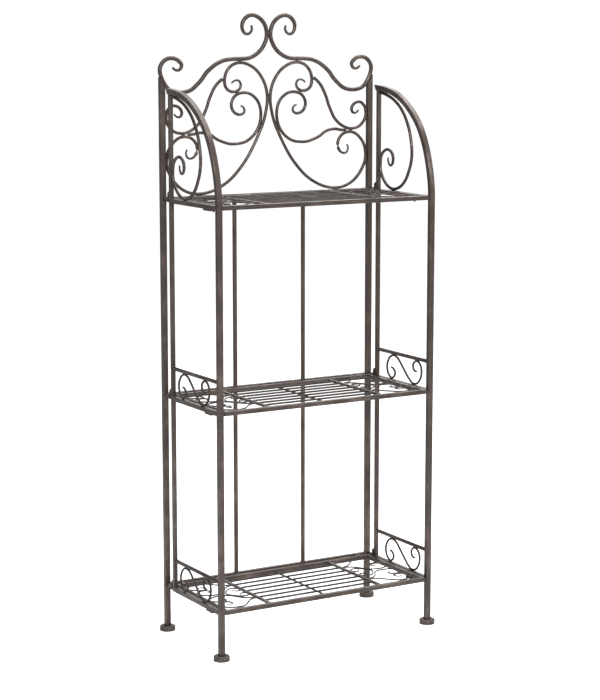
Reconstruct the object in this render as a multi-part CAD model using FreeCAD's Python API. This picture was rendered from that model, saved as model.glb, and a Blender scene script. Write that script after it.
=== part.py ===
import FreeCAD, Part
import math
import os

from FreeCAD import Vector

# Folding wrought-steel shelf with three shelves, an arched wing at each side and a scrolled back.
# Millimetres. Z is up, the front faces -Y, and the origin lies on the floor under the middle.

# Overall size
total_width = 525.0
total_depth = 270.0
total_height = 1270.0

# Feet
foot_diameter = 33.0
foot_height = 10.5
foot_shoulder = 2.0
foot_sole_diameter = 32.0
foot_flare_height = 1.0
foot_sole = 3.0

# Bars and rods
post_side = 11.0
stile_side = 8.0
rail_side = 9.0
bearer_side = 5.0
back_rod_diameter = 9.0
crest_diameter = 8.5
scroll_diameter = 6.5
gallery_rail_diameter = 6.0
gallery_scroll_diameter = 4.5
slat_diameter = 3.0
curl_diameter = 3.0
middle_wire_diameter = 4.0
drawn_tip_share = 0.55

# Heights
lowest_shelf_height = 101.0
crown_rise = 367.0
arch_rise = 212.4
gallery_rail_rise = 57.0
slat_drop = 0.5

# Places in depth, measured forward from the middle of the back posts
stile_setback = 37.5
wing_hinge_setback = 25.5
shelf_hinge_setback = 10.5
shelf_rear_rail_setback = 22.5
arch_upper_run = 15.8
arch_lower_run = 8.7
left_gallery_shift = 14.0

# Places in width
bearer_spacing = 262.0
shelf_side_gap = 2.0
shelf_hinge_spacing = 424.0
crest_overhang = 4.0

# Counts
slat_count = 7
back_bay_count = 3

# Hinges, tabs and pegs
hook_diameter = 6.0
hook_rise = 11.0
hook_drop = 8.0
hook_bend = 3.3
eye_diameter = 11.0
eye_height = 9.0
eye_drop = 6.5
eye_arm_width = 6.0
eye_arm_height = 7.0
lug_thickness = 3.0
pivot_diameter = 5.0
pivot_head_diameter = 7.0
pivot_head_thickness = 2.0
tab_length = 26.0
tab_reach = 24.0
tab_thickness = 3.0
tab_corner = 4.0
tab_from_front_post = 43.5
peg_diameter = 4.0
peg_tip = 3.5
peg_chamfer = 0.5

# Fits and clearances
weld_gap = 0.15
seat_gap = 0.2
running_gap = 0.1
lug_gap = 0.3
socket_gap = 0.1
peg_side_gap = 1.0
same_point = 0.01
least_turn = 0.0002

# Worked out from the sizes above
post_x = (total_width - foot_diameter) / 2
post_y = (total_depth - foot_diameter) / 2
top_shelf_height = total_height - crown_rise
shelf_heights = {
    "lower": lowest_shelf_height,
    "middle": (lowest_shelf_height + top_shelf_height) / 2,
    "top": top_shelf_height,
}
arch_stile_height = top_shelf_height + arch_rise
stile_y = post_y - stile_setback
wing_hinge_y = post_y - wing_hinge_setback
shelf_hinge_y = post_y - shelf_hinge_setback
shelf_rear_rail_y = post_y - shelf_rear_rail_setback
tab_y = tab_from_front_post - post_y
shelf_half_width = post_x - post_side / 2 - shelf_side_gap
sides = {"left": -1, "right": 1}

EAST = (1, 0)
WEST = (-1, 0)
NORTH = (0, 1)
SOUTH = (0, -1)


# Smooth paths made of tangent arcs

def plus(a, b, scale=1):
    return (a[0] + b[0] * scale, a[1] + b[1] * scale)


def dot(a, b):
    return a[0] * b[0] + a[1] * b[1]


def unit(a):
    length = math.hypot(a[0], a[1])
    return (a[0] / length, a[1] / length)


def left_of(a):
    return (-a[1], a[0])


def mirrored_about(a, axis):
    """The direction a, mirrored about the direction axis."""
    return plus((-a[0], -a[1]), axis, 2 * dot(a, axis))


def arc(start, heading, end):
    """One arc that leaves start along heading and passes through end, with its direction at three points."""
    chord = plus(end, start, -1)
    along = unit(chord)
    lean = math.atan2(dot(left_of(heading), chord), dot(heading, chord))
    bulge = math.hypot(chord[0], chord[1]) / 2 * math.tan(lean / 2)
    middle = plus(plus(start, chord, 0.5), left_of(along), -bulge)
    return {
        "points": (start, middle, end),
        "headings": (heading, along, mirrored_about(heading, along)),
        "turn": 2 * lean,
        "length": math.hypot(chord[0], chord[1]) * (lean / math.sin(lean) if lean else 1),
    }


def two_arcs(start, heading, end, end_heading):
    """Two arcs that meet smoothly and join one point and direction to another."""
    chord = plus(end, start, -1)
    both = plus(heading, end_heading)
    spread = 2 * (1 - dot(heading, end_heading))
    reach = dot(chord, both)
    if spread:
        step = (math.sqrt(reach * reach + spread * dot(chord, chord)) - reach) / spread
    else:
        step = dot(chord, chord) / (2 * reach)
    ahead = plus(start, heading, step)
    behind = plus(end, end_heading, -step)
    joint = ((ahead[0] + behind[0]) / 2, (ahead[1] + behind[1]) / 2)
    first = arc(start, heading, joint)
    return [first, arc(joint, first["headings"][2], end)]


def smooth_path(stops):
    """Arcs through the stops; a stop is a point, or a point and the direction that the path has there."""
    points = [stop[0] for stop in stops]
    headings = [stop[1] for stop in stops]
    last = len(points) - 1
    for k in range(1, last):
        if headings[k] is None:
            before = plus(points[k], points[k - 1], -1)
            after = plus(points[k + 1], points[k], -1)
            headings[k] = unit(plus(plus((0, 0), before, 1 / dot(before, before)), after, 1 / dot(after, after)))
    if headings[0] is None:
        headings[0] = mirrored_about(headings[1], unit(plus(points[1], points[0], -1)))
    if headings[last] is None:
        headings[last] = mirrored_about(headings[last - 1], unit(plus(points[last], points[last - 1], -1)))
    path = []
    for k in range(last):
        path += two_arcs(points[k], headings[k], points[k + 1], headings[k + 1])
    return path


def stops_in(shares, low, high, flip=False):
    """Stops given as shares of the box from low to high; flip mirrors them at the first axis's zero."""
    turned = -1 if flip else 1
    stops = []
    for entry in shares:
        u = low[0] + entry[0] * (high[0] - low[0])
        v = low[1] + entry[1] * (high[1] - low[1])
        heading = entry[2] if len(entry) > 2 else None
        if heading:
            heading = (heading[0] * turned, heading[1])
        stops.append(((u * turned, v), heading))
    return stops


# Solids

def box(x0, x1, y0, y1, z0, z1):
    """A block between two corners, in any order."""
    corner = Vector(min(x0, x1), min(y0, y1), min(z0, z1))
    return Part.makeBox(abs(x1 - x0), abs(y1 - y0), abs(z1 - z0), corner)


def bar(start, end, diameter):
    """A straight round bar."""
    along = end - start
    return Part.makeCylinder(diameter / 2, along.Length, start, along)


def ring(place, heading, centre, diameter):
    """A circle across the path at one of its points, with its seam always on the same side."""
    origin = place((0, 0))
    along = place(heading) - origin
    side = (place(EAST) - origin).cross(place(NORTH) - origin)
    turn = FreeCAD.Rotation(side, along.cross(side), along, "ZXY")
    circle = Part.makeCircle(diameter / 2)
    circle.Placement = FreeCAD.Placement(place(centre), turn)
    return Part.Wire(circle)


def edge(piece, place, offset=0):
    """The curve of one arc of a path, moved sideways by offset."""
    points = [
        place(plus(point, left_of(heading), offset))
        for point, heading in zip(piece["points"], piece["headings"])
    ]
    if abs(piece["turn"]) < least_turn:
        return Part.LineSegment(points[0], points[2]).toShape()
    return Part.Arc(*points).toShape()


def drawn_out(path, place, thick, thin):
    """A tip that narrows evenly along its path, through rings a quarter turn or less apart."""
    total = sum(piece["length"] for piece in path)
    rings = [ring(place, path[0]["headings"][0], path[0]["points"][0], thick)]
    done = 0
    for piece in path:
        for k in (1, 2):
            width = thick + (thin - thick) * (done + piece["length"] * k / 2) / total
            rings.append(ring(place, piece["headings"][k], piece["points"][k], width))
        done += piece["length"]
    return Part.makeLoft(rings, True, False)


def joined_ends(solids, seams):
    """One solid from pieces that share whole end faces, whose centres are the seams."""
    faces = [
        face for solid in solids for face in solid.Faces
        if not any(face.CenterOfMass.isEqual(seam, same_point) for seam in seams)
    ]
    return Part.makeSolid(Part.Shell(faces))


def rod(path, place, diameter, tip_at_start=0, tip_at_end=0):
    """A round rod bent along a path; a tip's number says how many of its arcs are drawn out thinner."""
    thin = diameter * drawn_tip_share
    body = path[tip_at_start:len(path) - tip_at_end]
    profile = ring(place, body[0]["headings"][0], body[0]["points"][0], diameter)
    pieces = [Part.Wire([edge(piece, place) for piece in body]).makePipeShell([profile], True, False)]
    seams = []
    if tip_at_start:
        pieces.append(drawn_out(path[:tip_at_start], place, thin, diameter))
        seams.append(place(body[0]["points"][0]))
    if tip_at_end:
        pieces.append(drawn_out(path[len(path) - tip_at_end:], place, diameter, thin))
        seams.append(place(body[-1]["points"][2]))
    return joined_ends(pieces, seams) if seams else pieces[0]


def strip(path, place, side, upper_run, lower_run):
    """A square bar bent along a path in a plane across X, then run straight on to an end cut on a slant."""
    tip = path[-1]["points"][2]
    heading = path[-1]["headings"][2]
    outlines = []
    for offset, run in ((side / 2, upper_run), (-side / 2, lower_run)):
        corner = plus(tip, left_of(heading), offset)
        straight = Part.LineSegment(place(corner), place(plus(corner, heading, run))).toShape()
        outlines.append([edge(piece, place, offset) for piece in path] + [straight])
    ends = [
        Part.LineSegment(*[outline[k].Vertexes[k].Point for outline in outlines]).toShape() for k in (0, -1)
    ]
    face = Part.Face(Part.Wire(Part.__sortEdges__(outlines[0] + outlines[1] + ends)))
    face.translate(Vector(-side / 2, 0, 0))
    return face.extrude(Vector(side, 0, 0))


def save(name, *solids):
    """Writes one node, which is one solid or a group of separate ones."""
    shape = solids[0] if len(solids) == 1 else Part.makeCompound(list(solids))
    shape.exportStep("parts/" + name + ".step")


os.makedirs("parts", exist_ok=True)


# Back frame: posts, feet, crossbars and rods

def foot(x, y):
    """A round moulded foot with a full sole, a flat top with a rounded rim, and a socket for the post."""
    radius = foot_diameter / 2
    neck = radius - foot_shoulder
    shoulder = foot_height - foot_shoulder
    curve = foot_shoulder * math.sqrt(0.5)
    outline = [
        Vector(0, 0, 0),
        Vector(foot_sole_diameter / 2, 0, 0),
        Vector(radius, 0, foot_flare_height),
        Vector(radius, 0, shoulder),
        Vector(neck + curve, 0, shoulder + curve),
        Vector(neck, 0, foot_height),
        Vector(0, 0, foot_height),
    ]
    edges = [Part.LineSegment(outline[k], outline[k + 1]).toShape() for k in range(3)]
    edges.append(Part.Arc(outline[3], outline[4], outline[5]).toShape())
    edges.append(Part.LineSegment(outline[5], outline[6]).toShape())
    edges.append(Part.LineSegment(outline[6], outline[0]).toShape())
    puck = Part.Face(Part.Wire(edges)).revolve(Vector(0, 0, 0), Vector(0, 0, 1), 360)
    half = post_side / 2 + socket_gap
    puck = puck.cut(box(-half, half, -half, half, foot_sole, foot_height))
    puck.translate(Vector(x, y, 0))
    return puck


def back_place(point):
    return Vector(point[0], post_y, point[1])


crest_low = (crest_diameter / 2 + weld_gap, top_shelf_height)
crest_high = (post_x + crest_overhang, total_height - crest_diameter / 2)
crest_shares = [
    (0.149, 0.942),
    (0.187, 0.895, EAST),
    (0.236, 0.939, NORTH),
    (0.208, 0.980),
    (0.142, 1.000, WEST),
    (0.048, 0.972),
    (0.000, 0.894, SOUTH),
    (0.038, 0.822),
    (0.138, 0.769),
    (0.286, 0.757, EAST),
    (0.440, 0.742),
    (0.555, 0.693),
    (0.641, 0.628),
    (0.728, 0.585),
    (0.814, 0.575, EAST),
    (0.917, 0.593),
    (0.975, 0.643),
    (1.000, 0.700, NORTH),
    (0.969, 0.744),
    (0.898, 0.764, WEST),
    (0.825, 0.747),
    (0.801, 0.724, SOUTH),
    (0.839, 0.697, EAST),
    (0.883, 0.713),
]
crest_touch_share = 0.757
crest_landing_arcs = slice(30, 33)
post_faces = (post_x - post_side / 2, post_x + post_side / 2)


def crest_path(sign):
    return smooth_path(stops_in(crest_shares, crest_low, crest_high, sign < 0))


def above_landing(sign):
    """The space over the underside of the crest rod where it lands, which the post's top is cut to."""
    landing = crest_path(sign)[crest_landing_arcs]
    under = [edge(piece, back_place, -sign * (crest_diameter / 2 + weld_gap)) for piece in landing]
    low = under[0].Vertexes[0].Point
    high = under[-1].Vertexes[-1].Point
    corner = Vector(low.x, low.y, high.z)
    sides_over = [Part.LineSegment(high, corner).toShape(), Part.LineSegment(corner, low).toShape()]
    face = Part.Face(Part.Wire(Part.__sortEdges__(under + sides_over)))
    face.translate(Vector(0, -post_side / 2, 0))
    return face.extrude(Vector(0, post_side, 0))


for side, sign in sides.items():
    cut = above_landing(sign)
    post = box(
        sign * post_faces[0], sign * post_faces[1], post_y - post_side / 2, post_y + post_side / 2,
        foot_sole, cut.BoundBox.ZMax,
    )
    save("back_post_" + side, post.cut(cut))
    save("back_foot_" + side, foot(sign * post_x, post_y))

for name, height in shelf_heights.items():
    save("back_crossbar_" + name, box(
        -post_faces[0], post_faces[0],
        post_y - rail_side / 2, post_y + rail_side / 2,
        height - rail_side, height,
    ))

back_rod_x = post_x / back_bay_count
for side, sign in sides.items():
    lengths = []
    for low, high in (("lower", "middle"), ("middle", "top")):
        start = Vector(sign * back_rod_x, post_y, shelf_heights[low])
        end = Vector(sign * back_rod_x, post_y, shelf_heights[high] - rail_side)
        lengths.append(bar(start, end, back_rod_diameter))
    save("back_rod_" + side, *lengths)


# Back frame: the scrolled crown above the top shelf

scroll_reach = scroll_diameter / 2 + weld_gap
crown_low = (scroll_reach, top_shelf_height + scroll_reach)
crown_high = (
    post_faces[0] - scroll_reach,
    crest_low[1] + crest_touch_share * (crest_high[1] - crest_low[1]) - crest_diameter / 2 - scroll_reach,
)
leaf_shares = [
    (0.357, 0.842),
    (0.306, 0.866, WEST),
    (0.267, 0.828, SOUTH),
    (0.338, 0.777, EAST),
    (0.409, 0.804),
    (0.428, 0.862, NORTH),
    (0.381, 0.962),
    (0.273, 1.000, WEST),
    (0.144, 0.964),
    (0.046, 0.871),
    (0.000, 0.722, SOUTH),
    (0.018, 0.608),
    (0.125, 0.382),
    (0.247, 0.216),
    (0.405, 0.082),
    (0.576, 0.012),
    (0.685, 0.000, EAST),
    (0.832, 0.031),
    (0.947, 0.124),
    (1.000, 0.248, NORTH),
    (0.964, 0.366),
    (0.826, 0.4427, WEST),
    (0.734, 0.412),
    (0.701, 0.346, SOUTH),
    (0.773, 0.274, EAST),
    (0.811, 0.309),
    (0.798, 0.342),
]
heart_shares = [
    (0.269, 0.668),
    (0.231, 0.631, SOUTH),
    (0.278, 0.601, EAST),
    (0.351, 0.639),
    (0.362, 0.676, NORTH),
    (0.3463, 0.722),
    (0.231, 0.7698, WEST),
    (0.131, 0.735),
    (0.0655, 0.602, SOUTH),
    (0.1058, 0.4755),
    (0.205, 0.397),
    (0.345, 0.375, EAST),
    (0.479, 0.404),
    (0.601, 0.461),
    (0.667, 0.469, EAST),
    (0.752, 0.4586),
    (0.787, 0.4583),
]
side_shares = [
    (0.450, 0.8755),
    (0.509, 0.832),
    (0.570, 0.742),
    (0.613, 0.644),
    (0.686, 0.536),
    (0.768, 0.4855),
    (0.841, 0.4686, EAST),
    (0.947, 0.497),
    (1.000, 0.587, NORTH),
    (0.979, 0.652),
    (0.927, 0.680, WEST),
    (0.869, 0.661),
    (0.848, 0.624, SOUTH),
    (0.878, 0.592, EAST),
    (0.921, 0.617),
]

for side, sign in sides.items():
    save("crest_rod_" + side, rod(crest_path(sign), back_place, crest_diameter, 6, 6))
    for name, shares, first, last in (
        ("leaf_scroll_", leaf_shares, 6, 6),
        ("heart_scroll_", heart_shares, 4, 2),
        ("side_scroll_", side_shares, 0, 4),
    ):
        path = smooth_path(stops_in(shares, crown_low, crown_high, sign < 0))
        save(name + side, rod(path, back_place, scroll_diameter, first, last))


# Wings: bent front post with its arch, rear stile, foot, crossbars and galleries

arch_shares = [
    (0.000, 0.000, NORTH),
    (0.027, 0.201),
    (0.072, 0.354),
    (0.138, 0.505),
    (0.240, 0.656),
    (0.409, 0.805),
    (0.605, 0.917),
    (0.708, 0.953),
    (0.883, 0.988),
    (1.000, 1.000),
]
arch_scroll_shares = [
    (1.000, 0.996),
    (0.818, 0.959),
    (0.723, 0.926),
    (0.645, 0.887),
    (0.532, 0.802),
    (0.462, 0.719),
    (0.404, 0.621),
    (0.369, 0.520),
    (0.350, 0.392, SOUTH),
    (0.363, 0.301),
    (0.406, 0.206),
    (0.481, 0.102),
    (0.557, 0.045),
    (0.650, 0.010),
    (0.718, 0.000, EAST),
    (0.914, 0.074),
    (1.000, 0.228, NORTH),
    (0.957, 0.362),
    (0.843, 0.407, WEST),
    (0.732, 0.312, SOUTH),
    (0.786, 0.243, EAST),
    (0.832, 0.280),
    (0.836, 0.323),
]
gallery_shares = [
    (0.738, 0.453),
    (0.701, 0.443),
    (0.669, 0.373),
    (0.651, 0.253, SOUTH),
    (0.690, 0.032),
    (0.727, 0.000, EAST),
    (0.774, 0.092),
    (0.806, 0.273),
    (0.815, 0.473, NORTH),
    (0.795, 0.713),
    (0.748, 0.914),
    (0.675, 1.000, WEST),
    (0.612, 0.944),
    (0.533, 0.713),
    (0.449, 0.413),
    (0.365, 0.142),
    (0.286, 0.000, WEST),
    (0.207, 0.062),
    (0.155, 0.253),
    (0.127, 0.573, NORTH),
    (0.144, 0.834),
    (0.181, 0.964),
    (0.223, 1.000, EAST),
    (0.270, 0.926),
    (0.294, 0.774, SOUTH),
    (0.281, 0.613),
    (0.249, 0.553),
    (0.213, 0.563),
]

stile_front = stile_y - stile_side / 2
stile_rear = stile_y + stile_side / 2
front_post_rear = post_side / 2 - post_y


def wing_place(sign):
    return lambda point: Vector(sign * post_x, point[0], point[1])


def hinge_hook(sign, height):
    """A round hook welded to the stile's rear: out to the hinge line and down through the eye."""
    level = height + hook_rise
    bend_start = (wing_hinge_y - hook_bend, level)
    bend_end = (wing_hinge_y, level - hook_bend)
    path = [
        arc((stile_rear, level), EAST, bend_start),
        arc(bend_start, EAST, bend_end),
        arc(bend_end, SOUTH, (wing_hinge_y, height - hook_drop)),
    ]
    return rod(path, wing_place(sign), hook_diameter)


def shelf_tab(sign, height):
    """A flat tab under the crossbar that carries the shelf's side rail; its open slot takes the shelf's peg."""
    outer = sign * (post_x + rail_side / 2)
    inner = outer - sign * tab_reach
    top = height - rail_side
    low = top - tab_thickness
    tab = box(outer, inner, tab_y - tab_length / 2, tab_y + tab_length / 2, low, top)
    half_level = top - tab_thickness / 2
    upright = [
        e for e in tab.Edges
        if abs(e.CenterOfMass.x - inner) < same_point and abs(e.CenterOfMass.z - half_level) < same_point
    ]
    tab = tab.makeFillet(tab_corner, upright)
    slot = peg_diameter / 2 + peg_side_gap
    peg_x = sign * (shelf_half_width - rail_side / 2)
    tab = tab.cut(box(peg_x, inner - sign * seat_gap, tab_y - slot, tab_y + slot, low, top))
    end = Part.makeCylinder(slot, tab_thickness, Vector(peg_x, tab_y, low))
    return tab.cut(end)


for side, sign in sides.items():
    place = wing_place(sign)

    spring = (-post_y, top_shelf_height)
    arch = smooth_path(stops_in(arch_shares, spring, (stile_front, arch_stile_height)))
    upright = arc((-post_y, foot_sole), NORTH, spring)
    front_post = strip([upright] + arch, place, post_side, arch_upper_run, arch_lower_run)
    save(side + "_front_post", front_post)

    half = stile_side / 2
    stile = box(
        sign * post_x - half, sign * post_x + half, stile_front, stile_rear,
        lowest_shelf_height, arch_stile_height,
    )
    save(side + "_rear_stile", stile.cut(front_post))
    save(side + "_foot", foot(sign * post_x, -post_y))

    half = rail_side / 2
    for name, height in shelf_heights.items():
        rear = stile_rear if name == "lower" else stile_front
        save(side + "_crossbar_" + name, box(
            sign * post_x - half, sign * post_x + half, front_post_rear, rear, height - rail_side, height,
        ))

    rails = []
    scrolls = []
    reach = gallery_scroll_diameter / 2 + weld_gap
    shift = left_gallery_shift if side == "left" else 0
    for height in (shelf_heights["middle"], shelf_heights["lower"]):
        level = height + gallery_rail_rise
        rails.append(bar(place((front_post_rear, level)), place((stile_front, level)), gallery_rail_diameter))
        low = (front_post_rear + shift, height + reach)
        high = (stile_front + shift, level - gallery_rail_diameter / 2 - reach)
        path = smooth_path(stops_in(gallery_shares, low, high))
        scrolls.append(rod(path, place, gallery_scroll_diameter, 2, 2))
    save(side + "_gallery_rails", *rails)
    save(side + "_gallery_scrolls", *scrolls)

    low = (front_post_rear + scroll_reach, top_shelf_height + scroll_reach)
    high = (stile_front - scroll_reach, arch_stile_height - post_side / 2 - scroll_reach)
    path = smooth_path(stops_in(arch_scroll_shares, low, high))
    save(side + "_arch_scroll", rod(path, place, scroll_diameter, 0, 6))

    save(side + "_shelf_tabs", *[shelf_tab(sign, height) for height in shelf_heights.values()])
    save(side + "_hinge_hooks", *[hinge_hook(sign, height) for height in shelf_heights.values()])


# Hinge eyes on the back posts, and the lugs that the shelves turn on

def hinge_eye(sign, height):
    """An eye on a short arm from the back post's front face, bored for the wing's hook."""
    base = height - eye_drop
    centre = Vector(sign * post_x, wing_hinge_y, base)
    eye = Part.makeCylinder(eye_diameter / 2, eye_height, centre)
    half = eye_arm_width / 2
    arm_base = base + (eye_height - eye_arm_height) / 2
    arm = box(
        sign * post_x - half, sign * post_x + half, wing_hinge_y, post_y - post_side / 2,
        arm_base, arm_base + eye_arm_height,
    )
    bore = Part.makeCylinder(hook_diameter / 2 + running_gap, eye_height, centre)
    return eye.fuse(arm).cut(bore)


lug_half = rail_side / 2
lug_x = shelf_hinge_spacing / 2
frame_lug_radius = lug_half - lug_gap


def frame_lug(sign, height):
    """A plate from the back crossbar that holds a shelf's pivot."""
    middle = height - rail_side / 2
    start = Vector(min(sign * lug_x, sign * (lug_x + lug_thickness)), shelf_hinge_y, middle)
    along = Vector(1, 0, 0)
    plate = box(
        start.x, start.x + lug_thickness, shelf_hinge_y, post_y - rail_side / 2,
        middle - frame_lug_radius, middle + frame_lug_radius,
    )
    plate = plate.fuse(Part.makeCylinder(frame_lug_radius, lug_thickness, start, along))
    return plate.cut(Part.makeCylinder(pivot_diameter / 2 + running_gap, lug_thickness, start, along))


save("wing_hinge_eyes", *[hinge_eye(sign, h) for sign in sides.values() for h in shelf_heights.values()])
save("shelf_hinge_lugs", *[frame_lug(sign, h) for sign in sides.values() for h in shelf_heights.values()])


# Shelves: frame, bearers, slats, end scrolls, and the pivots and pegs they move and lock with

shelf_front = -post_y + rail_side / 2
shelf_rear = shelf_rear_rail_y - rail_side / 2
shelf_middle = (shelf_front + shelf_rear) / 2
bearer_x = bearer_spacing / 2
curl_reach = curl_diameter / 2 + weld_gap

bracket_shares = [
    (0.000, 0.513),
    (0.095, 0.534),
    (0.233, 0.605),
    (0.318, 0.693),
    (0.414, 0.790),
    (0.498, 0.859),
    (0.626, 0.898, EAST),
    (0.840, 0.850),
    (1.000, 0.683, SOUTH),
    (0.912, 0.527),
    (0.774, 0.470, WEST),
    (0.652, 0.560, NORTH),
    (0.721, 0.655, EAST),
    (0.806, 0.620),
]
ogee_shares = [
    (0.000, 0.478),
    (0.117, 0.464),
    (0.233, 0.395),
    (0.318, 0.298),
    (0.382, 0.195),
    (0.456, 0.112),
    (0.583, 0.064),
    (0.689, 0.054, EAST),
    (0.880, 0.100),
    (1.000, 0.254, NORTH),
    (0.923, 0.390),
    (0.785, 0.432, WEST),
    (0.662, 0.340, SOUTH),
    (0.700, 0.280),
    (0.753, 0.265),
]
c_half_shares = [
    (0.201, 0.185),
    (0.170, 0.112),
    (0.106, 0.083, WEST),
    (0.000, 0.185, NORTH),
    (0.053, 0.259),
    (0.148, 0.288, EAST),
    (0.265, 0.250),
    (0.361, 0.155),
    (0.415, 0.072),
    (0.436, 0.000, SOUTH),
]


def turned_over(shares):
    """The same stops on the other side of the shelf's middle line."""
    return [(e[0], -e[1]) + tuple((h[0], -h[1]) for h in e[2:]) for e in shares]


def run_backwards(shares):
    """The same stops, from the last to the first."""
    return [(e[0], e[1]) + tuple((-h[0], -h[1]) for h in e[2:]) for e in reversed(shares)]


c_shares = c_half_shares + run_backwards(turned_over(c_half_shares))[1:]


def shelf_end(sign, height):
    """The wire scrolls that fill one end of a shelf, between its bearer and its side rail."""
    level = height - slat_drop - curl_diameter / 2
    low = (bearer_x + bearer_side / 2 + curl_reach, shelf_middle)
    high = (shelf_half_width - rail_side - curl_reach, shelf_rear)
    pieces = []
    for shares, first, last in (
        (bracket_shares, 0, 4),
        (turned_over(bracket_shares), 0, 4),
        (ogee_shares, 0, 4),
        (turned_over(ogee_shares), 0, 4),
        (c_shares, 4, 4),
    ):
        path = smooth_path(stops_in(shares, low, high, sign < 0))
        pieces.append(rod(path, lambda point: Vector(point[0], point[1], level), curl_diameter, first, last))
    return pieces


def pivot(sign, height):
    """A lug on the shelf's rear rail with the pin that turns in the frame's lug, held by its head."""
    middle = height - rail_side / 2
    inner = lug_x + lug_thickness + lug_gap
    outer = inner + lug_thickness
    head = lug_x - lug_gap - pivot_head_thickness
    along = Vector(sign, 0, 0)
    plate = box(
        sign * inner, sign * outer, shelf_rear_rail_y + rail_side / 2, shelf_hinge_y,
        middle - lug_half, middle + lug_half,
    )
    plate = plate.fuse(Part.makeCylinder(
        lug_half, lug_thickness, Vector(sign * inner, shelf_hinge_y, middle), along))
    plate = plate.fuse(Part.makeCylinder(
        pivot_diameter / 2, outer - head, Vector(sign * head, shelf_hinge_y, middle), along))
    return plate.fuse(Part.makeCylinder(
        pivot_head_diameter / 2, pivot_head_thickness, Vector(sign * head, shelf_hinge_y, middle), along))


def peg(sign, height):
    """The peg under the side rail that drops into the wing's tab, with a rounded tip."""
    top = height - rail_side + seat_gap
    length = seat_gap + tab_thickness + peg_tip
    place = Vector(sign * (shelf_half_width - rail_side / 2), tab_y, top - length)
    pin = Part.makeCylinder(peg_diameter / 2, length, place)
    rim = [e for e in pin.Edges if abs(e.CenterOfMass.z - place.z) < same_point]
    return pin.makeChamfer(peg_chamfer, rim)


for name, height in shelf_heights.items():
    frame_low = height - rail_side + seat_gap
    inner_x = shelf_half_width - rail_side
    save(
        name + "_shelf_frame",
        box(-shelf_half_width, shelf_half_width, shelf_front - rail_side, shelf_front, frame_low, height),
        box(-shelf_half_width, shelf_half_width, shelf_rear, shelf_rear + rail_side, frame_low, height),
        box(-shelf_half_width, -inner_x, shelf_front, shelf_rear, frame_low, height),
        box(inner_x, shelf_half_width, shelf_front, shelf_rear, frame_low, height),
    )
    top = height - slat_drop
    half = bearer_side / 2
    wire_level = top - slat_diameter - weld_gap - middle_wire_diameter / 2
    save(
        name + "_shelf_bearers",
        box(-bearer_x - half, -bearer_x + half, shelf_front, shelf_rear, top - bearer_side, top),
        box(bearer_x - half, bearer_x + half, shelf_front, shelf_rear, top - bearer_side, top),
        bar(
            Vector(0, shelf_front, wire_level), Vector(0, shelf_rear, wire_level), middle_wire_diameter,
        ),
    )
    slats = []
    for k in range(1, slat_count + 1):
        y = shelf_front + (shelf_rear - shelf_front) * k / (slat_count + 1)
        level = top - slat_diameter / 2
        slats.append(bar(Vector(half - bearer_x, y, level), Vector(bearer_x - half, y, level), slat_diameter))
    save(name + "_shelf_slats", *slats)
    for side, sign in sides.items():
        save(name + "_shelf_scrolls_" + side, *shelf_end(sign, height))
    save(name + "_shelf_pivots", *[piece(sign, height) for piece in (pivot, peg) for sign in sides.values()])
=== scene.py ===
import math

import bmesh
import bpy
import numpy
from mathutils import Matrix, Vector, noise
from mathutils.bvhtree import BVHTree


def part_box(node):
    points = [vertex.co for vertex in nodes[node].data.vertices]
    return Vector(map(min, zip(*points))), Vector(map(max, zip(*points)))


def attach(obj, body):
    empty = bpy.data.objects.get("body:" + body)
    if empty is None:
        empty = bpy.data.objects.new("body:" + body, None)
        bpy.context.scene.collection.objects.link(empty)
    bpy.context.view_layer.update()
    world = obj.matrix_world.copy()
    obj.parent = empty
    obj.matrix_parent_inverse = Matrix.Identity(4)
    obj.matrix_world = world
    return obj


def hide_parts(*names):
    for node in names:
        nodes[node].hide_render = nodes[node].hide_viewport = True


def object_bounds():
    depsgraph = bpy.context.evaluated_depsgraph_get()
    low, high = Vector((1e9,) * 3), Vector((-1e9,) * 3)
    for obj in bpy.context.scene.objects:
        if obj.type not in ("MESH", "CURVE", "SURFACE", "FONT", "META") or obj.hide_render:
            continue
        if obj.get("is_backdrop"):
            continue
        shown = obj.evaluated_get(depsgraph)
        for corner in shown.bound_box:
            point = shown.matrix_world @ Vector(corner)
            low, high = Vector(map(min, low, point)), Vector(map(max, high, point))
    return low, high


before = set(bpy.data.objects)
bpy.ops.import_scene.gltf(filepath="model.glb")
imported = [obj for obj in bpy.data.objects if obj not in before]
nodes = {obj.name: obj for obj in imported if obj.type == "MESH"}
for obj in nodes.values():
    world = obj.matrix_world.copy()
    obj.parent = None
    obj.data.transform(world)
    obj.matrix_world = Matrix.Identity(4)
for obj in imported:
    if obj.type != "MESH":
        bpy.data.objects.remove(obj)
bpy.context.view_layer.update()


# Back posts. Two lengths of 11 mm square steel tube, rolled with small rounded corners, and cut on a
# slant at the top for the crest rod. Everything on the frame has the same paint: a dark brown coat,
# rubbed over by hand with a paler grey brown that stays along the strokes and on the corners.

mm = 0.001
sides = ("left", "right")
tube_corner = 0.8 * mm
corner_steps = 3
square_turn = math.radians(60)
flat_turn = math.radians(0.3)
longest_end_edge = 15 * mm
same_point = 0.002 * mm


def put_in_place(name, shape, mesh, body, node=None):
    """The drawn shape as a piece that rides on its body, in place of the CAD node where one is named."""
    shape.to_mesh(mesh)
    shape.free()
    piece = bpy.data.objects.new(name, mesh)
    bpy.context.scene.collection.objects.link(piece)
    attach(piece, body)
    if node:
        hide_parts(node)
    return piece


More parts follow.
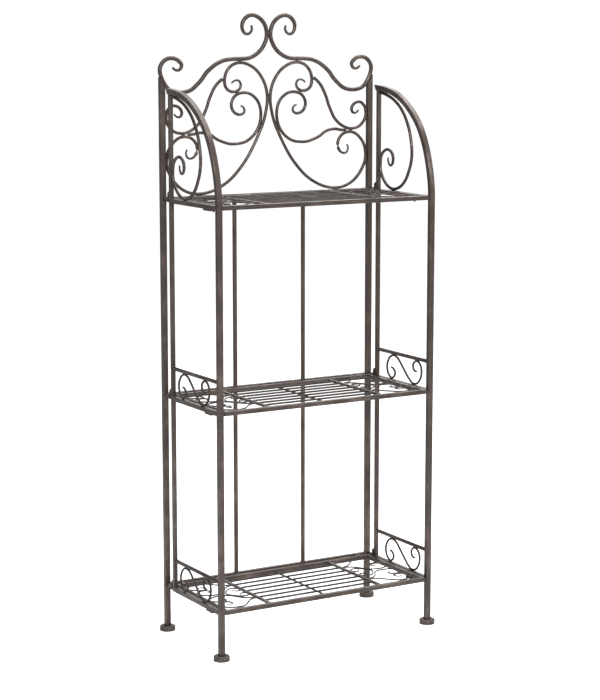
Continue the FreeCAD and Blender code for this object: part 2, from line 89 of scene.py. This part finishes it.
def soft_bar(name, node, body, corner, ends=False):
    """The CAD bar again with the tube's rounded corners; the value named edge marks them for the paint."""
    mesh = nodes[node].data.copy()
    mesh.name = name
    shape = bmesh.new()
    shape.from_mesh(mesh)
    bmesh.ops.remove_doubles(shape, verts=shape.verts, dist=same_point)
    bmesh.ops.dissolve_limit(shape, angle_limit=flat_turn, verts=shape.verts, edges=shape.edges)
    corners = [
        edge for edge in shape.edges
        if len(edge.link_faces) == 2 and edge.calc_face_angle() > square_turn
        and (ends or edge.calc_length() > longest_end_edge)
    ]
    rounded = bmesh.ops.bevel(
        shape, geom=corners, offset=corner, segments=corner_steps, profile=0.5, affect="EDGES",
    )
    round_faces = {face for face in rounded["faces"] if face.is_valid}
    edge_value = shape.verts.layers.float.new("edge")
    for vertex in shape.verts:
        if round_faces.issuperset(vertex.link_faces):
            vertex[edge_value] = 1
    for face in shape.faces:
        face.smooth = True
    piece = put_in_place(name, shape, mesh, body, node)
    even = piece.modifiers.new("even_shading", "WEIGHTED_NORMAL")
    even.weight = 100
    return piece


def linear(code):
    """An sRGB colour written as #rrggbb, in the linear values that the sockets take."""
    parts = [int(code[k:k + 2], 16) / 255 for k in (1, 3, 5)]
    return [part / 12.92 if part <= 0.04045 else ((part + 0.055) / 1.055) ** 2.4 for part in parts] + [1]


def add(tree, kind, inputs, **settings):
    """One node with its settings; each input gets a value or a link from another node's output."""
    node = tree.nodes.new(kind)
    for name, value in settings.items():
        setattr(node, name, value)
    for name, value in inputs.items():
        if isinstance(value, bpy.types.NodeSocket):
            tree.links.new(value, node.inputs[name])
        else:
            node.inputs[name].default_value = value
    return node


def rubbed_paint(name, colours, stroke, shine=0.36, metal=0.5):
    """Brown metal paint rubbed by hand along the bar: stroke is one stroke's size along X, Y and Z."""
    dark, middle, pale = colours
    paint = bpy.data.materials.new(name)
    paint.use_nodes = True
    tree = paint.node_tree
    tree.nodes.clear()
    place = add(tree, "ShaderNodeTexCoord", {}).outputs["Object"]
    along = add(tree, "ShaderNodeMapping", {"Vector": place, "Scale": [1 / size for size in stroke]})
    strokes = add(tree, "ShaderNodeTexNoise", {
        "Vector": along.outputs["Vector"], "Scale": 1, "Detail": 4, "Roughness": 0.6,
    }).outputs["Fac"]
    # Clouds of 45 mm where the hand rubbed harder, and grains of 1.2 mm in the paint itself
    clouds = add(tree, "ShaderNodeTexNoise", {
        "Vector": place, "Scale": 1 / (45 * mm), "Detail": 3, "Roughness": 0.55,
    }).outputs["Fac"]
    grains = add(tree, "ShaderNodeTexNoise", {
        "Vector": place, "Scale": 1 / (1.2 * mm), "Detail": 2, "Roughness": 0.7,
    }).outputs["Fac"]
    rubbed = add(tree, "ShaderNodeMath", {0: strokes, 1: clouds}, operation="ADD").outputs[0]
    coat = add(tree, "ShaderNodeValToRGB", {"Fac": add(
        tree, "ShaderNodeMath", {0: rubbed, 1: 0.5}, operation="MULTIPLY").outputs[0]})
    coat.color_ramp.elements[0].position = 0.36
    coat.color_ramp.elements[0].color = linear(dark)
    coat.color_ramp.elements[1].position = 0.66
    coat.color_ramp.elements[1].color = linear(pale)
    coat.color_ramp.elements.new(0.5).color = linear(middle)
    speckled = add(tree, "ShaderNodeMix", {
        "Factor": add(tree, "ShaderNodeMapRange", {
            "Value": grains, "From Min": 0.4, "From Max": 0.8, "To Min": 0.0, "To Max": 0.12,
        }).outputs["Result"],
        6: coat.outputs["Color"], 7: linear(pale),
    }, data_type="RGBA").outputs[2]
    # The corners are worn paler where the grain lets the rub through
    corner_wear = add(tree, "ShaderNodeMath", {
        0: add(tree, "ShaderNodeAttribute", {}, attribute_name="edge").outputs["Fac"],
        1: add(tree, "ShaderNodeMapRange", {
            "Value": rubbed, "From Min": 0.8, "From Max": 1.2, "To Min": 0.1, "To Max": 0.6,
        }).outputs["Result"],
    }, operation="MULTIPLY").outputs[0]
    colour = add(tree, "ShaderNodeMix", {
        "Factor": corner_wear, 6: speckled, 7: linear(pale),
    }, data_type="RGBA").outputs[2]
    gloss = add(tree, "ShaderNodeMapRange", {
        "Value": rubbed, "From Min": 0.7, "From Max": 1.3, "To Min": shine + 0.1, "To Max": shine - 0.08,
    }).outputs["Result"]
    # The coat has a fine orange peel, drawn at 0.9 mm so that it still shows in a close view
    peel = add(tree, "ShaderNodeTexNoise", {
        "Vector": place, "Scale": 1 / (0.9 * mm), "Detail": 2, "Roughness": 0.5,
    }).outputs["Fac"]
    relief = add(tree, "ShaderNodeBump", {
        "Height": add(tree, "ShaderNodeMath", {0: peel, 1: strokes}, operation="ADD").outputs[0],
        "Strength": 0.2, "Distance": 0.04 * mm,
    }).outputs["Normal"]
    # Where it is rubbed, the pale coat's metal pigment shines through
    pigment = add(tree, "ShaderNodeMapRange", {
        "Value": rubbed, "From Min": 0.75, "From Max": 1.25, "To Min": metal * 0.4, "To Max": metal,
    }).outputs["Result"]
    shader = add(tree, "ShaderNodeBsdfPrincipled", {
        "Base Color": colour, "Roughness": gloss, "Normal": relief, "Metallic": pigment,
    })
    add(tree, "ShaderNodeOutputMaterial", {"Surface": shader.outputs["BSDF"]})
    return paint


def finish_with(piece, paint):
    """The piece or CAD node gets the paint in its material slots."""
    if not piece.material_slots:
        piece.data.materials.append(paint)
    for place in piece.material_slots:
        place.material = paint


bar_colours = ("#3a312d", "#4c423d", "#71655f")
upright_paint = rubbed_paint("rubbed_brown_paint_on_posts", bar_colours, (2.2 * mm, 2.2 * mm, 60 * mm))

for side in sides:
    post = soft_bar("back_tube_" + side, "back_post_" + side, "back_frame", tube_corner)
    finish_with(post, upright_paint)


# Feet. Four round pucks moulded in brown plastic and pushed over the posts' ends: a full sole with a
# worn edge, a shallow waist above it, and a nearly flat top with a rounded rim.

foot_outline = [
    (0.0, 0.3), (14.8, 0.3), (15.3, 0.0), (16.0, 0.1), (16.4, 0.6), (16.5, 1.3), (16.4, 2.1), (16.1, 2.8),
    (15.8, 3.4), (15.75, 4.1), (15.95, 4.8), (16.2, 5.5), (16.3, 6.4), (16.3, 7.6), (16.05, 8.9),
    (15.4, 9.8), (14.4, 10.3), (13.0, 10.5), (9.4, 10.4), (8.2, 10.1),
]
foot_steps = 96


def moulded_foot(name, node, body):
    """A puck turned round its own axis from the mould's outline, in place of the plain one."""
    low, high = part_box(node)
    middle = Vector(((low.x + high.x) / 2, (low.y + high.y) / 2, 0))
    mesh = bpy.data.meshes.new(name)
    shape = bmesh.new()
    outline = [shape.verts.new(middle + Vector((radius, 0, height)) * mm) for radius, height in foot_outline]
    lines = [shape.edges.new(pair) for pair in zip(outline, outline[1:])]
    bmesh.ops.spin(
        shape, geom=outline + lines, cent=middle, axis=(0, 0, 1), angle=math.tau, steps=foot_steps,
        use_merge=True,
    )
    bmesh.ops.remove_doubles(shape, verts=shape.verts, dist=same_point)
    bmesh.ops.recalc_face_normals(shape, faces=shape.faces)
    for face in shape.faces:
        face.smooth = True
    return put_in_place(name, shape, mesh, body, node)


def moulded_plastic(name, dark, middle):
    """Brown moulded plastic: even colour, a satin skin with fine grain, and dusty scuffs low down."""
    plastic = bpy.data.materials.new(name)
    plastic.use_nodes = True
    tree = plastic.node_tree
    tree.nodes.clear()
    place = add(tree, "ShaderNodeTexCoord", {}).outputs["Object"]
    scuffs = add(tree, "ShaderNodeTexNoise", {
        "Vector": place, "Scale": 1 / (6 * mm), "Detail": 5, "Roughness": 0.65,
    }).outputs["Fac"]
    grain = add(tree, "ShaderNodeTexNoise", {
        "Vector": place, "Scale": 1 / (0.8 * mm), "Detail": 2, "Roughness": 0.5,
    }).outputs["Fac"]
    colour = add(tree, "ShaderNodeValToRGB", {"Fac": scuffs})
    colour.color_ramp.elements[0].position = 0.38
    colour.color_ramp.elements[0].color = linear(dark)
    colour.color_ramp.elements[1].position = 0.64
    colour.color_ramp.elements[1].color = linear(middle)
    relief = add(tree, "ShaderNodeBump", {"Height": grain, "Strength": 0.4, "Distance": 0.1 * mm})
    gloss = add(tree, "ShaderNodeMapRange", {
        "Value": scuffs, "From Min": 0.35, "From Max": 0.7, "To Min": 0.42, "To Max": 0.6,
    })
    shader = add(tree, "ShaderNodeBsdfPrincipled", {
        "Base Color": colour.outputs["Color"], "Roughness": gloss.outputs["Result"],
        "Normal": relief.outputs["Normal"], "Metallic": 0.0, "IOR": 1.48,
    })
    add(tree, "ShaderNodeOutputMaterial", {"Surface": shader.outputs["BSDF"]})
    return plastic


foot_plastic = moulded_plastic("brown_moulded_plastic_feet", "#433b36", "#5f5650")
for side in sides:
    for name, node, body in (
        ("back_puck_" + side, "back_foot_" + side, "back_frame"),
        ("front_puck_" + side, side + "_foot", side + "_wing"),
    ):
        finish_with(moulded_foot(name, node, body), foot_plastic)


# Back crossbars. Three lengths of 9 mm square tube between the posts, one at each shelf, welded all
# round at both ends. The weld is a low rippled bead under the same paint.

levels = ("lower", "middle", "top")
rail_corner = 0.7 * mm
bead_size = 0.9 * mm
bead_ripple = 1.6 * mm
ripple_share = 0.16
bead_steps = 72
bead_sides = 8
circle = 2
squareness = 6

across_paint = rubbed_paint("rubbed_brown_paint_on_crossbars", bar_colours, (60 * mm, 2.2 * mm, 2.2 * mm))


def bead_round(shape, centre, axis, half, size, power):
    """A rippled bead round the end of a bar: a circle at a power of 2, nearly square at 6."""
    first = axis.orthogonal().normalized() if power == circle else Vector((axis.y, axis.z, axis.x))
    second = axis.cross(first)
    ripples = max(3, round(math.tau * half / bead_ripple))
    rings = []
    for k in range(bead_steps):
        turn = math.tau * k / bead_steps
        across, up = math.cos(turn), math.sin(turn)
        reach = half / (abs(across) ** power + abs(up) ** power) ** (1 / power)
        outward = first * across + second * up
        point = centre + outward * reach
        width = size * (1 + ripple_share * math.sin(ripples * turn))
        rings.append([
            shape.verts.new(point + (outward * math.cos(angle) + axis * math.sin(angle)) * width)
            for angle in [math.tau * j / bead_sides for j in range(bead_sides)]
        ])
    for ring, after in zip(rings, rings[1:] + rings[:1]):
        for j in range(bead_sides):
            other = (j + 1) % bead_sides
            shape.faces.new((ring[j], ring[other], after[other], after[j]))


def weld_piece(name, body, beads, paint):
    """One piece that holds all the beads of a group; each bead is a call to draw it into the mesh."""
    mesh = bpy.data.meshes.new(name)
    shape = bmesh.new()
    for draw in beads:
        draw(shape)
    bmesh.ops.recalc_face_normals(shape, faces=shape.faces)
    for face in shape.faces:
        face.smooth = True
    finish_with(put_in_place(name, shape, mesh, body), paint)


def end_bead(centre, axis, half, size=bead_size, power=squareness):
    """A bead for weld_piece, all round the end of a bar that is twice half across."""
    return lambda shape: bead_round(shape, Vector(centre), Vector(axis), half, size, power)


beads = []
for level in levels:
    node = "back_crossbar_" + level
    bar = soft_bar("back_rail_" + level, node, "back_frame", rail_corner)
    finish_with(bar, across_paint)
    low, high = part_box(node)
    middle = (low + high) / 2
    for x in (low.x, high.x):
        beads.append(end_bead((x, middle.y, middle.z), (1, 0, 0), (high.z - low.z) / 2))
weld_piece("back_rail_welds", "back_frame", beads, across_paint)


# Back rods. Two plain 9 mm round bars, in two lengths each between the crossbars, with a bead round
# each end.

rod_bead = 0.8 * mm
rod_paint = rubbed_paint(
    "rubbed_brown_paint_on_rods", ("#3f3632", "#534842", "#786b65"), (2.5 * mm, 2.5 * mm, 40 * mm), 0.34)

beads = []
for side in sides:
    node = "back_rod_" + side
    finish_with(nodes[node], rod_paint)
    low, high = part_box(node)
    middle = (low + high) / 2
    for z in [low.z, high.z] + [corner.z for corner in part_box("back_crossbar_middle")]:
        beads.append(end_bead((middle.x, middle.y, z), (0, 0, 1), (high.x - low.x) / 2, rod_bead, circle))
weld_piece("back_rod_welds", "back_frame", beads, rod_paint)


# Crown. Round bars, bent cold round a scroll form and drawn out thin at the curls: two 8.5 mm crest rods
# that land on the post tops, and under them a leaf, a heart and a side scroll each side in 6.5 mm bar.
# Where two bars touch they are joined by a short lump of weld.

scroll_paint = rubbed_paint(
    "rubbed_brown_paint_on_scrolls", ("#352d29", "#473d38", "#6c605a"), (9 * mm, 9 * mm, 9 * mm), 0.34)
touch_reach = 0.7 * mm
lump_spread = 10 * mm
lump_longest = 1.5
lump_flatness = 0.7
lump_unevenness = 0.12
scroll_lump = 2.3 * mm


def touching_places(node_a, node_b):
    """Where two CAD nodes touch: the middle of each place, and its long, wide and thin directions."""
    mesh = nodes[node_b].data
    other = BVHTree.FromPolygons([v.co for v in mesh.vertices], [p.vertices for p in mesh.polygons])
    groups = []
    for vertex in nodes[node_a].data.vertices:
        nearest = other.find_nearest(vertex.co, touch_reach)[0]
        if nearest is None:
            continue
        point = (vertex.co + nearest) / 2
        for group in groups:
            if (group[0] - point).length < lump_spread:
                group.append(point)
                break
        else:
            groups.append([point])
    places = []
    for group in groups:
        cloud = numpy.array(group)
        centre = cloud.mean(axis=0)
        # The trace that is added gives a place of one point its directions too
        spread = numpy.cov((cloud - centre).T) + numpy.eye(3) * 1e-12
        size, turn = numpy.linalg.eigh(spread)
        places.append((Vector(centre), [Vector(turn[:, k]) for k in (2, 1, 0)], math.sqrt(size[2])))
    return places


def lump(centre, directions, spread, width):
    """A low weld lump, a little uneven, longest along the place where the bars touch."""
    def draw(shape):
        length = min(lump_longest * width, width + spread)
        turn = Matrix([directions[0] * length, directions[1] * width, directions[2] * width * lump_flatness])
        made = bmesh.ops.create_icosphere(shape, subdivisions=3, radius=1)
        for vertex in made["verts"]:
            # The centre, in steps of 2.5 mm, gives each lump a form of its own
            push = 1 + lump_unevenness * noise.noise(vertex.co * 1.7 + centre / (2.5 * mm))
            vertex.co = centre + turn.transposed() @ (vertex.co * push)
    return draw


def weld_lumps(name, body, pairs, width, paint):
    """One piece with a lump at each place where the two CAD nodes of a pair touch."""
    beads = [
        lump(centre, directions, spread, width)
        for node_a, node_b in pairs
        for centre, directions, spread in touching_places(node_a, node_b)
    ]
    if beads:
        weld_piece(name, body, beads, paint)


pairs = [("leaf_scroll_left", "leaf_scroll_right"), ("crest_rod_left", "crest_rod_right")]
for side in sides:
    leaf, heart, side_scroll, crest = (
        part + side for part in ("leaf_scroll_", "heart_scroll_", "side_scroll_", "crest_rod_"))
    for node in (leaf, heart, side_scroll, crest):
        finish_with(nodes[node], scroll_paint)
    post = "back_post_" + side
    pairs += [
        (leaf, crest), (leaf, "back_crossbar_top"), (heart, leaf), (heart, crest), (heart, side_scroll),
        (side_scroll, post), (side_scroll, leaf), (side_scroll, crest), (crest, post), (heart, post),
    ]
weld_lumps("crown_welds", "back_frame", pairs, scroll_lump, scroll_paint)


# Wings. Each is one bent length of the 11 mm square tube, up from the front foot and over in an arch,
# with a rear stile, three crossbars and two 8 mm round gallery rails welded between them.

gallery_radius = 4 * mm
gallery_bead = 0.7 * mm
stile_bead_drop = 0.6 * mm
bar_sides = 24


def round_bars(name, node, body, bars, radius):
    """Straight round bars between pairs of points, each with a rounded rim where it was cut."""
    mesh = bpy.data.meshes.new(name)
    shape = bmesh.new()
    rim = radius / 4
    for start, end in bars:
        axis = (end - start).normalized()
        first = axis.orthogonal().normalized()
        second = axis.cross(first)
        rings = []
        for point, reach in (
            (start, radius - rim), (start + axis * rim / 3, radius - rim / 3), (start + axis * rim, radius),
            (end - axis * rim, radius), (end - axis * rim / 3, radius - rim / 3), (end, radius - rim),
        ):
            rings.append([
                shape.verts.new(point + (first * math.cos(turn) + second * math.sin(turn)) * reach)
                for turn in [math.tau * k / bar_sides for k in range(bar_sides)]
            ])
        for ring, after in zip(rings, rings[1:]):
            for k in range(bar_sides):
                other = (k + 1) % bar_sides
                shape.faces.new((ring[k], ring[other], after[other], after[k]))
        shape.faces.new(rings[0])
        shape.faces.new(rings[-1])
    bmesh.ops.recalc_face_normals(shape, faces=shape.faces)
    for face in shape.faces:
        face.smooth = len(face.verts) == 4
    return put_in_place(name, shape, mesh, body, node)


arch_paint = rubbed_paint("rubbed_brown_paint_on_arches", bar_colours, (2.2 * mm, 14 * mm, 45 * mm))
wing_rail_paint = rubbed_paint(
    "rubbed_brown_paint_on_wing_rails", bar_colours, (2.2 * mm, 50 * mm, 2.2 * mm))

for side in sides:
    wing = side + "_wing"
    tube = soft_bar(side + "_arch_tube", side + "_front_post", wing, tube_corner, True)
    finish_with(tube, arch_paint)
    stile = soft_bar(side + "_stile_tube", side + "_rear_stile", wing, rail_corner)
    finish_with(stile, upright_paint)
    beads = []
    foot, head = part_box(side + "_rear_stile")
    stile_half = (head.y - foot.y) / 2
    for level in levels:
        node = side + "_crossbar_" + level
        bar = soft_bar(side + "_wing_rail_" + level, node, wing, rail_corner, level == "lower")
        finish_with(bar, wing_rail_paint)
        low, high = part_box(node)
        middle = (low + high) / 2
        beads.append(end_bead((middle.x, low.y, middle.z), (0, 1, 0), (high.z - low.z) / 2))
        if level != "lower":
            beads.append(end_bead((middle.x, high.y, middle.z), (0, 1, 0), stile_half))
    middle = (foot + head) / 2
    for z in (foot.z, head.z - stile_bead_drop):
        beads.append(end_bead((middle.x, middle.y, z), (0, 0, 1), stile_half))
    low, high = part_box(side + "_gallery_rails")
    x = (low.x + high.x) / 2
    inset = (high.x - low.x) / 2
    heights = (low.z + inset, high.z - inset)
    rails = round_bars(side + "_gallery_bars", side + "_gallery_rails", wing, [
        (Vector((x, low.y, z)), Vector((x, high.y, z))) for z in heights], gallery_radius)
    finish_with(rails, scroll_paint)
    for z in heights:
        for y in (low.y, high.y):
            beads.append(end_bead((x, y, z), (0, 1, 0), gallery_radius, gallery_bead, circle))
    weld_piece(side + "_wing_welds", wing, beads, wing_rail_paint)


# Wing scrolls. The long scroll inside each arch is 6.5 mm round bar; the S scrolls under the gallery
# rails are 4.5 mm wire. All are bent cold, drawn out at the curls and tacked where they touch.

gallery_lump = 1.8 * mm
wire_paint = rubbed_paint(
    "rubbed_brown_paint_on_wire", ("#2a2422", "#39312e", "#59504c"), (7 * mm, 7 * mm, 7 * mm), 0.55, 0.2)

for side in sides:
    wing = side + "_wing"
    finish_with(nodes[side + "_arch_scroll"], scroll_paint)
    finish_with(nodes[side + "_gallery_scrolls"], wire_paint)
    weld_lumps(side + "_arch_scroll_welds", wing, [
        (side + "_arch_scroll", side + "_front_post"), (side + "_arch_scroll", side + "_crossbar_top"),
    ], scroll_lump, scroll_paint)
    weld_lumps(side + "_gallery_welds", wing, [
        (side + "_gallery_scrolls", side + other) for other in
        ("_crossbar_lower", "_crossbar_middle", "_gallery_rails")
    ], gallery_lump, wire_paint)


# Hinges and tabs. Round hooks on the stiles drop into bored eyes on the back posts, so each wing lifts
# off; flat tabs on the wings carry the shelves; plates on the back crossbars hold the shelves' pivots.
# All are small steel pieces, welded on and painted with the frame.

# The hinges' paint is the frame's brown paint made darker. This is painted shade for the gaps between posts
# and stiles, and under the shelves, where these pieces sit.
hinge_paint_with_painted_shade = rubbed_paint(
    "rubbed_brown_paint_shaded_darker_on_hinges", ("#312926", "#423834", "#60554f"), (5 * mm, 5 * mm, 5 * mm), 0.34)

for node in ("wing_hinge_eyes", "shelf_hinge_lugs"):
    finish_with(nodes[node], hinge_paint_with_painted_shade)
for side in sides:
    for node in ("_shelf_tabs", "_hinge_hooks"):
        finish_with(nodes[side + node], hinge_paint_with_painted_shade)


# Shelves. Each is a frame of 9 mm square tube with two 5 mm square bearers and a 4 mm wire across it,
# seven 4 mm slats along the middle, and bent 3 mm wire at both ends. Pins at the back turn in the frame's
# plates and pegs at the front drop into the wings' tabs.

slat_paint = rubbed_paint(
    "rubbed_brown_paint_on_slats", ("#241f1d", "#322b28", "#4f4743"), (40 * mm, 3 * mm, 3 * mm), 0.55, 0.2)
slat_count = 7
slat_radius = 2 * mm
slat_lump = 1.3 * mm

for level in levels:
    shelf = "shelf_" + level
    start = level + "_shelf_"
    rails = soft_bar(start + "tubes", start + "frame", shelf, rail_corner, True)
    finish_with(rails, across_paint)
    finish_with(nodes[start + "bearers"], wing_rail_paint)
    low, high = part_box(start + "slats")
    inset = (high.z - low.z) / 2
    step = (high.y - low.y - 2 * inset) / (slat_count - 1)
    middles = [(low.y + inset + k * step, (low.z + high.z) / 2) for k in range(slat_count)]
    slats = round_bars(start + "slat_bars", start + "slats", shelf, [
        (Vector((low.x, y, z)), Vector((high.x, y, z))) for y, z in middles], slat_radius)
    finish_with(slats, slat_paint)
    # The pivots take the hinges' darker paint, which is painted shade for their place under the shelf.
    finish_with(nodes[start + "pivots"], hinge_paint_with_painted_shade)
    pairs = [(start + "slats", start + "bearers")]
    for side in sides:
        finish_with(nodes[start + "scrolls_" + side], wire_paint)
        pairs += [(start + "scrolls_" + side, start + other) for other in ("bearers", "frame")]
    weld_lumps(start + "welds", shelf, pairs, slat_lump, wire_paint)


# Studio. A pale floor that the camera sees as white, white all round, and plain soft lamps: a wide one
# overhead, one high in front on the left, and weak ones on the right, on the left and behind.

# The camera stands where the photograph's perspective puts it, and looks down and aside by its angles
image_height = 700
focal_pixels = 1980
camera_down = math.radians(9.2)
camera_aside = math.radians(30.64)
camera = bpy.data.objects.new("camera", bpy.data.cameras.new("camera"))
bpy.context.scene.collection.objects.link(camera)
bpy.context.scene.camera = camera
camera.data.sensor_fit = "VERTICAL"
camera.data.sensor_height = 24
camera.data.lens = focal_pixels / image_height * camera.data.sensor_height
camera.location = (-2.040, -3.452, 1.237)
camera.rotation_euler = (math.radians(90) - camera_down, 0, -camera_aside)

floor_mesh = bpy.data.meshes.new("floor")
reach = 30
floor_mesh.from_pydata(
    [(-reach, -reach, 0), (reach, -reach, 0), (reach, reach, 0), (-reach, reach, 0)], [], [(0, 1, 2, 3)])
floor = bpy.data.objects.new("floor", floor_mesh)
bpy.context.scene.collection.objects.link(floor)
floor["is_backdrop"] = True
pale_floor = bpy.data.materials.new("pale_studio_floor")
pale_floor.use_nodes = True
tree = pale_floor.node_tree
tree.nodes.clear()
rays = add(tree, "ShaderNodeLightPath", {})
# The paint mirrors the lit floor a little brighter than the lamps make it, and the camera sees it white
mirrored = add(tree, "ShaderNodeMath", {0: rays.outputs["Is Glossy Ray"], 1: 0.2}, operation="MULTIPLY")
seen = add(tree, "ShaderNodeMath", {
    0: rays.outputs["Is Camera Ray"], 1: rays.outputs["Is Transmission Ray"],
}, operation="MAXIMUM")
lift = add(tree, "ShaderNodeMath", {
    0: mirrored.outputs[0],
    1: add(tree, "ShaderNodeMath", {0: seen.outputs[0], 1: 0.9}, operation="MULTIPLY").outputs[0],
}, operation="MAXIMUM")
matt = add(tree, "ShaderNodeBsdfDiffuse", {"Color": linear("#e6e6e6")})
glow = add(tree, "ShaderNodeEmission", {"Color": linear("#ffffff"), "Strength": lift.outputs[0]})
both = add(tree, "ShaderNodeAddShader", {0: matt.outputs["BSDF"], 1: glow.outputs["Emission"]})
add(tree, "ShaderNodeOutputMaterial", {"Surface": both.outputs["Shader"]})
floor_mesh.materials.append(pale_floor)

world = bpy.data.worlds.new("white_studio")
bpy.context.scene.world = world
world.use_nodes = True
tree = world.node_tree
tree.nodes.clear()
rays = add(tree, "ShaderNodeLightPath", {})
seen = add(tree, "ShaderNodeMath", {
    0: rays.outputs["Is Camera Ray"], 1: rays.outputs["Is Transmission Ray"],
}, operation="MAXIMUM").outputs[0]
# Glossy paint mirrors the white sweep behind the object, and the dimmer room in front of it
toward_sweep = add(tree, "ShaderNodeVectorMath", {
    0: add(tree, "ShaderNodeTexCoord", {}).outputs["Generated"], 1: (0.51, 0.86, 0),
}, operation="DOT_PRODUCT").outputs["Value"]
mirrored = add(tree, "ShaderNodeMath", {
    0: rays.outputs["Is Glossy Ray"],
    1: add(tree, "ShaderNodeMapRange", {
        "Value": toward_sweep, "From Min": 0.35, "From Max": 1, "To Min": 0.12, "To Max": 1,
    }).outputs["Result"],
}, operation="MULTIPLY").outputs[0]
seen = add(tree, "ShaderNodeMath", {0: seen, 1: mirrored}, operation="MAXIMUM").outputs[0]
sky = add(tree, "ShaderNodeBackground", {
    "Color": linear("#ffffff"),
    "Strength": add(tree, "ShaderNodeMath", {0: seen, 1: 0.2}, operation="MAXIMUM").outputs[0],
})
add(tree, "ShaderNodeOutputWorld", {"Surface": sky.outputs["Background"]})

lit_height = 0.65
for name, place, size, power in (
    ("front_lamp", (-0.9, -2.5, 2.2), 1.3, 68),
    ("right_lamp", (1.6, -2.2, 1.8), 1.0, 12),
    ("left_lamp", (-2.0, -0.6, 1.4), 1.0, 5),
    ("overhead_lamp", (0.8, 0.2, 3.1), 2.6, 90),
    ("back_lamp", (2.3, 3.4, 2.4), 1.2, 12),
):
    lamp = bpy.data.lights.new(name, "AREA")
    lamp.shape = "SQUARE"
    lamp.size = size
    lamp.energy = power
    holder = bpy.data.objects.new(name, lamp)
    bpy.context.scene.collection.objects.link(holder)
    holder.location = place
    toward = Vector((0, 0, lit_height)) - holder.location
    holder.rotation_euler = toward.to_track_quat("-Z", "Y").to_euler()

bpy.context.scene.view_settings.view_transform = "Standard"

low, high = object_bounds()
